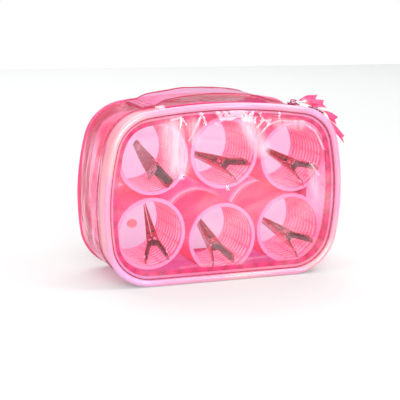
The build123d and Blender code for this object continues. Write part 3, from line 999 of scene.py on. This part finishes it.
def strap_line(x):
    """Height of the strap at x, and how free it is there: 0 where it is sewn down, 1 in its arch."""
    half_thick, clearance = 0.6, 0.15
    band_r = TOP_R - 1.2
    skin = band_r + half_thick
    if abs(x) > STRAP_HALF_SEAM:
        return ARCH_C[1] + math.sqrt(skin ** 2 - x * x) + clearance, 0.0
    seam_z = ARCH_C[1] + math.sqrt(skin ** 2 - STRAP_HALF_SEAM ** 2)
    rise = ARCH_C[1] + band_r + 5.6 + half_thick - seam_z
    radius = (STRAP_HALF_SEAM ** 2 + rise ** 2) / (2 * rise)
    z = seam_z + rise - radius + math.sqrt(radius ** 2 - x * x) + clearance
    free = min(1.0, (STRAP_HALF_SEAM - abs(x)) / 9.0)
    return z + 2.6 * free * (abs(x) / STRAP_HALF_SEAM) ** 2, free


def strap_point(x, j):
    """Point j across the strap at x, in metres: the arch waves, curls down and narrows a little."""
    z, free = strap_line(x)
    y = STRAP_FRONT_Y + (STRAP_BACK_Y - STRAP_FRONT_Y) * j / STRAP_ACROSS
    middle = (STRAP_FRONT_Y + STRAP_BACK_Y) / 2
    edge = abs(2.0 * j / STRAP_ACROSS - 1.0)
    wave = free * (0.9 * ripple(x, y * 0.5, 0, 24.0, 7.7) + 0.35 * ripple(x, y, 0, 9.0, 2.9))
    curl = free * 0.5 * edge ** 6
    narrowed = middle + (y - middle) * (1.0 - 0.035 * free)
    height = z + wave - curl - ARCH_C[1]
    turned_x = x * math.cos(STRAP_TURN) - height * math.sin(STRAP_TURN)
    turned_z = ARCH_C[1] + x * math.sin(STRAP_TURN) + height * math.cos(STRAP_TURN)
    return (turned_x * MM, narrowed * MM, turned_z * MM), (x * MM, y * MM)


def handle_strap():
    """Wide vinyl strap: flat sewn ends and a slack arch between, hemmed along both edges."""
    nx, ny = STRAP_ALONG, STRAP_ACROSS
    stations = [-STRAP_HALF_LENGTH + 2 * STRAP_HALF_LENGTH * i / nx for i in range(nx + 1)]
    verts, uvs = zip(*[strap_point(x, j) for x in stations for j in range(ny + 1)])
    faces = grid_faces(nx + 1, ny + 1)
    obj = mesh_object("strap_sheet", verts, faces, MAT["strap_clear"], 60.0, uvs)
    finish_piece(obj, "case", "strap_pvc", "handle_strap")
    grid = np.array(verts).reshape(nx + 1, ny + 1, 3)
    hems, stitches = strap_edges(grid, nx, ny)


def strap_edges(grid, nx, ny):
    """Turned hems along the strap's long edges, and the stitching across its sewn ends."""
    lift = Vector((0, 0, 0.35 * MM))
    parts = []
    for j in (0, ny):
        line = [Vector(grid[i, j]) + lift for i in range(nx + 1)]
        parts.append(tube_along(line, 0.45 * MM, 8))
    for i in (0, nx):
        line = [Vector(grid[i, j]) + lift for j in range(ny + 1)]
        parts.append(tube_along(line, 0.45 * MM, 8))
    verts, faces = gather(parts)
    hems = mesh_object("strap_hems", verts, faces, MAT["seam_red"], 50.0)
    finish_piece(hems, "case", "strap_pvc")
    parts = []
    for i in (3, 7, nx - 7, nx - 3):
        for j in range(0, ny):
            a, b = Vector(grid[i, j]), Vector(grid[i, j + 1])
            line = [a.lerp(b, t) + Vector((0, 0, (0.25 + 0.2 * math.sin(math.pi * t)) * MM))
                    for t in (0.12, 0.35, 0.65, 0.88)]
            parts.append(tube_along(line, 0.2 * MM, 5, (0.7, 1, 1, 0.7)))
    verts, faces = gather(parts)
    stitches = mesh_object("strap_stitches", verts, faces, MAT["grosgrain"], 50.0)
    finish_piece(stitches, "case", "strap_pvc")
    return hems, stitches


# ---------------------------------------------------------------- ribbons

WIRE_R = 0.65
PIN_H = 2.55
PULL_REACH = 9.5 - 2 * WIRE_R
RIBBON_W = 7.6
RIBBON_THICK = 0.34
RIBBON_LOOP_R = WIRE_R + 0.42
RIBBON_TWIST = (62.0, 50.0)
TURN_STEPS, TAIL_STEPS, TAIL_ACROSS = 10, 22, 9


def pull_axes(centre, radius, turn, rise):
    """Origin of the pull's pin and its along and up directions, in the X-Z plane."""
    a = math.radians(turn)
    out = Vector((math.sin(a), 0, math.cos(a)))
    ahead = Vector((math.cos(a), 0, -math.sin(a)))
    origin = Vector((centre[0], CHAIN_Y, centre[1])) + out * (radius + PIN_H)
    b = math.radians(rise)
    along = ahead * math.cos(b) + out * math.sin(b)
    up = out * math.cos(b) - ahead * math.sin(b)
    return origin, along, up


def tail_line(number, length, drop, seed):
    """Middle line (ahead, up) of a tail: a quarter turn round the bar, then a run that sways."""
    side = 1.0 if number == 0 else -1.0
    turns = [math.pi * (1.0 - 0.5 * k / TURN_STEPS) for k in range(TURN_STEPS + 1)]
    line = [(RIBBON_LOOP_R * math.cos(t), side * RIBBON_LOOP_R * math.sin(t)) for t in turns]
    for k in range(1, TAIL_STEPS + 1):
        t = k / TAIL_STEPS
        ease = t * t * (3 - 2 * t)
        sway = 0.35 * math.sin(math.pi * 2.2 * t + seed + number * 2.0) * t
        line.append((length * t, side * RIBBON_LOOP_R * (1 - ease) + drop * t + sway * 0.8 + side * 0.22))
    return line


def tail_points(axes, number, line):
    """Vertices and run coordinates of a tail: it cups, twists and ends in a notch."""
    origin, along, up = axes
    bar = origin + along * PULL_REACH
    twist_end = math.radians(RIBBON_TWIST[number])
    verts, uvs = [], []
    travelled = 0.0
    for k, (u, v) in enumerate(line):
        if k:
            travelled += math.hypot(u - line[k - 1][0], v - line[k - 1][1])
        near_end = max(0.0, (k - len(line) + 6) / 5.0)
        share = max(0.0, min(1.0, (k - TURN_STEPS) / (0.6 * TAIL_STEPS)))
        twist = twist_end * share * share * (3 - 2 * share)
        side_way = Vector((0, math.cos(twist), 0)) + up * math.sin(twist)
        face_way = up * math.cos(twist) - Vector((0, math.sin(twist), 0))
        for level in (-0.5, 0.5):
            for j in range(TAIL_ACROSS):
                s = 2.0 * j / (TAIL_ACROSS - 1) - 1.0
                notch = near_end * 2.6 * (1.0 - abs(s))
                cup = 0.35 * s * s * min(1.0, k / 12.0) * (1 if number == 0 else -1)
                p = bar + along * (u - notch) + up * v
                p += face_way * (level * RIBBON_THICK + cup) + side_way * (s * RIBBON_W / 2)
                verts.append((p.x * MM, p.y * MM, p.z * MM))
                uvs.append((travelled * MM, s * RIBBON_W / 2 * MM))
    return verts, uvs


def tail_faces(rows):
    """Faces of a tail: each row has its under side's vertices, then its upper side's."""
    across, row = TAIL_ACROSS, 2 * TAIL_ACROSS
    faces = []
    for k in range(rows - 1):
        for j in range(across - 1):
            a, b = k * row + j, (k + 1) * row + j
            faces.append((a, a + 1, b + 1, b))
            faces.append((a + across, b + across, b + across + 1, a + across + 1))
        for j in (0, across - 1):
            a, b = k * row + j, (k + 1) * row + j
            faces.append((a, b, b + across, a + across))
    for k in (0, rows - 1):
        for j in range(across - 1):
            a = k * row + j
            faces.append((a, a + 1, a + across + 1, a + across))
    return faces


def ribbon_mesh(name, axes, tails, seed):
    """A ribbon looped over the pull's far bar: its two tails end in swallow tails."""
    parts, uvs = [], []
    for number, (length, drop) in enumerate(tails):
        line = tail_line(number, length, drop, seed)
        points, tail_uvs = tail_points(axes, number, line)
        parts.append((points, tail_faces(len(line))))
        uvs += tail_uvs
    verts, faces = gather(parts)
    return fix_normals(mesh_object(name, verts, faces, MAT["ribbon"], 50.0, uvs))


def ribbons():
    """The ribbon on each pull: a points back along the top, b hangs over the corner."""
    axes = pull_axes(ARCH_C, TOP_R, 7.62, 9.0)
    obj = ribbon_mesh("ribbon_tails_a", axes, ((15.0, 0.5), (22.0, -3.4)), 0.4)
    finish_piece(obj, "ribbon_a", "ribbon_pink", "ribbon_a")
    axes = pull_axes(TOP_C, TOP_CORNER_R, 30.0, 0.0)
    obj = ribbon_mesh("ribbon_tails_b", axes, ((17.0, 0.0), (32.0, -9.0)), 1.9)
    finish_piece(obj, "ribbon_b", "ribbon_pink", "ribbon_b")


# ---------------------------------------------------------------- roller sleeves

SLEEVE_IN = 29.06
SLEEVE_SKIN = 29.4
HOOK_TOP = 30.75
HOOK_ROWS = 25
HOOKS_ROUND = 70


def sleeve_ground(length):
    """The tape's ground: an inner and an outer skin, joined at both ends."""
    sides, rows = 72, 12
    verts = []
    for radius in (SLEEVE_IN, SLEEVE_SKIN):
        for r in range(rows + 1):
            for k in range(sides):
                t = 2 * math.pi * k / sides
                verts.append((radius * math.cos(t) * MM, length * r / rows * MM, radius * math.sin(t) * MM))
    shell = (rows + 1) * sides
    faces = flipped(grid_faces(rows + 1, sides, tube=True))
    faces += [tuple(shell + i for i in face[::-1]) for face in faces]
    for r in (0, rows):
        for k in range(sides):
            a, b = r * sides + k, r * sides + (k + 1) % sides
            quad = (a, a + shell, b + shell, b)
            faces.append(quad if r == 0 else quad[::-1])
    return verts, faces


def sleeve_hooks(length):
    """The bent hooks, row by row, no two quite alike."""
    rng = random.Random(11)
    margin, wire = 1.4, 0.17
    hooks = []
    for row in range(HOOK_ROWS):
        y = margin + (length - 2 * margin) * row / (HOOK_ROWS - 1)
        lean = 1 if row % 2 else -1
        for k in range(HOOKS_ROUND):
            t = 2 * math.pi * (k + 0.5 * (row % 2) + rng.uniform(-0.15, 0.15)) / HOOKS_ROUND
            out = Vector((math.cos(t), 0, math.sin(t)))
            round_ = Vector((-math.sin(t), 0, math.cos(t)))
            tall = HOOK_TOP - SLEEVE_SKIN - rng.uniform(0.0, 0.25)
            foot = out * SLEEVE_SKIN + Vector((0, y + rng.uniform(-0.3, 0.3), 0))
            line = [foot - out * 0.1, foot + out * tall * 0.6 + round_ * lean * 0.1,
                    foot + out * tall + round_ * lean * 0.5, foot + out * tall * 0.7 + round_ * lean * 0.95]
            hooks.append(tube_along([p * MM for p in line], wire * MM, 4, (1.1, 1, 0.9, 0.6)))
    return gather(hooks)


def sleeve_mesh(length):
    """Mesh of a hook sleeve on the Y axis: its ground and, in their own finish, its hooks."""
    ground = sleeve_ground(length)
    verts, faces = gather([ground, sleeve_hooks(length)])
    pattern = mesh_object("sleeve_pattern", verts, faces, MAT["sleeve"], 50.0)
    mesh = pattern.data
    bpy.data.objects.remove(pattern)
    mesh.materials.append(MAT["hook"])
    ground_count = len(ground[1])
    finish = [0] * ground_count + [1] * (len(faces) - ground_count)
    mesh.polygons.foreach_set("material_index", finish[:len(mesh.polygons)])
    return mesh


def roller_sleeves():
    """The hook sleeve of each roller, each turned so that no two show the same hooks."""
    low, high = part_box("roller_hooks_low_mid")
    mesh = sleeve_mesh((high.y - low.y) / MM)
    for name in ROLLER_NAMES:
        low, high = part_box("roller_hooks_" + name)
        obj = put("hook_sleeve_" + name, mesh.copy())
        spin = Matrix.Rotation(0.7 * ROLLER_NAMES.index(name), 4, "Y")
        place = Matrix.Translation(((low.x + high.x) / 2, low.y, (low.z + high.z) / 2))
        obj.data.transform(place @ spin)
        finish_piece(obj, "roller_" + name, "hook_sleeve", "roller_hooks_" + name)


# ---------------------------------------------------------------- carried-over nodes

def dress(node, material):
    """Give a CAD node its finish."""
    data = NODES[node].data
    data.materials.clear()
    data.materials.append(material)


def dress_nodes():
    """Finishes of the CAD nodes that no piece replaces."""
    for name in ROLLER_NAMES:
        dress("roller_core_" + name, MAT["roller"])
        dress("clip_wide_" + name, MAT["clip"])
        dress("clip_narrow_" + name, MAT["clip"])
        dress("clip_pin_" + name, MAT["pin"])
        dress("clip_spring_" + name, MAT["spring"])
    for name in ("slider_a", "slider_b"):
        dress(name, MAT["slider_dark"])
    for name in ("pull_a", "pull_b"):
        dress(name, MAT["nickel"])
    for name in ("zip_stop_top", "zip_stop_base"):
        dress(name, MAT["zip_end"])
    dress("back_patch", MAT["patch"])


# ---------------------------------------------------------------- stage

def place_camera():
    """The viewing angle: from the front left and a little above, with a long lens."""
    azimuth, elevation, roll = math.radians(-22.6), math.radians(11.9), math.radians(1.45)
    back = Vector((math.sin(azimuth) * math.cos(elevation), -math.cos(azimuth) * math.cos(elevation),
                   math.sin(elevation)))
    level = Vector((math.cos(azimuth), math.sin(azimuth), 0))
    above = back.cross(level)
    right = level * math.cos(roll) + above * math.sin(roll)
    up = above * math.cos(roll) - level * math.sin(roll)
    data = bpy.data.cameras.new("camera")
    data.sensor_width = 36.0
    data.lens = 106.2
    data.clip_start, data.clip_end = 0.05, 50.0
    aim, distance = Vector((0, 0, 0.075)), 1.01
    camera = put("camera", data)
    spot = aim + back * distance - right * 0.0086 - up * 0.0131
    camera.matrix_world = Matrix((
        (right.x, up.x, back.x, spot.x), (right.y, up.y, back.y, spot.y),
        (right.z, up.z, back.z, spot.z), (0, 0, 0, 1)))
    bpy.context.scene.camera = camera


def area_light(name, spot, target, size, energy):
    """A white panel of light at a spot, facing a target; sizes in metres, energy in watts."""
    data = bpy.data.lights.new(name, "AREA")
    data.shape = "RECTANGLE"
    data.size, data.size_y = size
    data.energy = energy
    light = put(name, data)
    light.location = spot
    light.rotation_mode = "QUATERNION"
    light.rotation_quaternion = (Vector(target) - Vector(spot)).to_track_quat("-Z", "Y")


def studio():
    """White floor and surround, a soft ceiling, front and key light, a wash on the floor behind the
    case, and two strips that the vinyl mirrors."""
    scene = bpy.context.scene
    scene.view_settings.view_transform = "Standard"
    scene.cycles.transparent_max_bounces = 32
    scene.cycles.max_bounces = 14
    world = bpy.data.worlds.new("surround")
    world.use_nodes = True
    tree = world.node_tree
    tree.nodes.clear()
    sight = add(tree, "ShaderNodeLightPath").outputs["Is Camera Ray"]
    glow = add(tree, "ShaderNodeBackground", {
        "Color": (1.0, 1.0, 1.0, 1.0), "Strength": ramp(tree, sight, 0.65, 1.0)})
    add(tree, "ShaderNodeOutputWorld", {"Surface": glow.outputs[0]})
    scene.world = world
    half = 1.7
    corners = [(-half, -half, 0), (half, -half, 0), (half, half, 0), (-half, half, 0)]
    paint = stage_material("floor", (0.42, 0.424, 0.424, 1), 0.21)
    floor = mesh_object("floor", corners, [(0, 1, 2, 3)], paint)
    area_light("ceiling", (0, 0, 2.1), (0, 0, 0), (3.4, 3.4), 30.0)
    area_light("front", (-0.35, -1.25, 0.55), (0, 0, 0.07), (0.8, 0.7), 19.0)
    area_light("key", (0.55, -0.35, 0.95), (0, 0, 0.06), (0.35, 0.35), 3.5)
    area_light("back_wash", (0.0, 1.5, 1.6), (0, 1.1, 0), (3.2, 1.2), 34.0)
    area_light("strip_right", (0.42, -0.95, 0.25), (0, 0, 0.09), (0.07, 0.42), 1.5)
    area_light("strip_left", (-0.85, -0.35, 0.42), (-0.05, 0, 0.08), (0.12, 0.6), 1.2)


# ---------------------------------------------------------------- build

front_panel()
back_panel()
pipings()
bindings()
gusset()
hinge_strip()
hinge_seams()
zip_tapes()
zip_coils()
handle_strap()
ribbons()
roller_sleeves()
dress_nodes()
place_camera()
studio()
